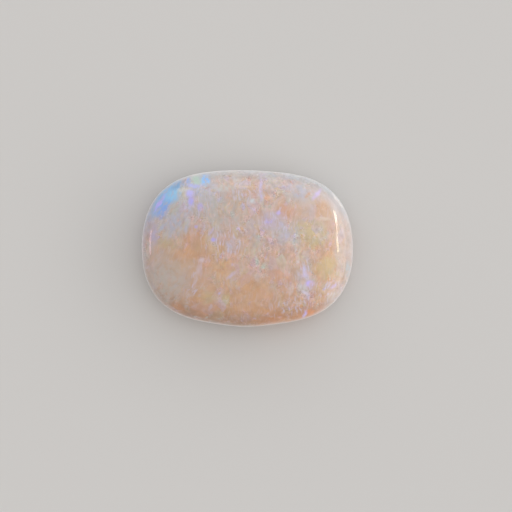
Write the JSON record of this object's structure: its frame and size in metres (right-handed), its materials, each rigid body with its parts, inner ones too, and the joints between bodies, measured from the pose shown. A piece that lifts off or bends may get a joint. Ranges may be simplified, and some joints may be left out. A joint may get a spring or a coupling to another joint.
{
  "type": "polished opal cabochon",
  "caption": "Freeform cushion-shaped opal cabochon with a low polished dome, rounded girdle and flat back, for display or setting.",
  "frame": {"origin": "under the middle of the stone's bounding box, on the plane that its flat back rests on", "axes": "+X along the stone's long side, +Y to the top of its face as pictured, +Z out of its domed face"},
  "size_m": [0.018, 0.0134, 0.0047],
  "materials": {
    "opal": "milky peach opal with lavender and blue play of colour, high polish"
  },
  "bodies": {
    "root": {"opal": "opal"}
  },
  "joints": []
}
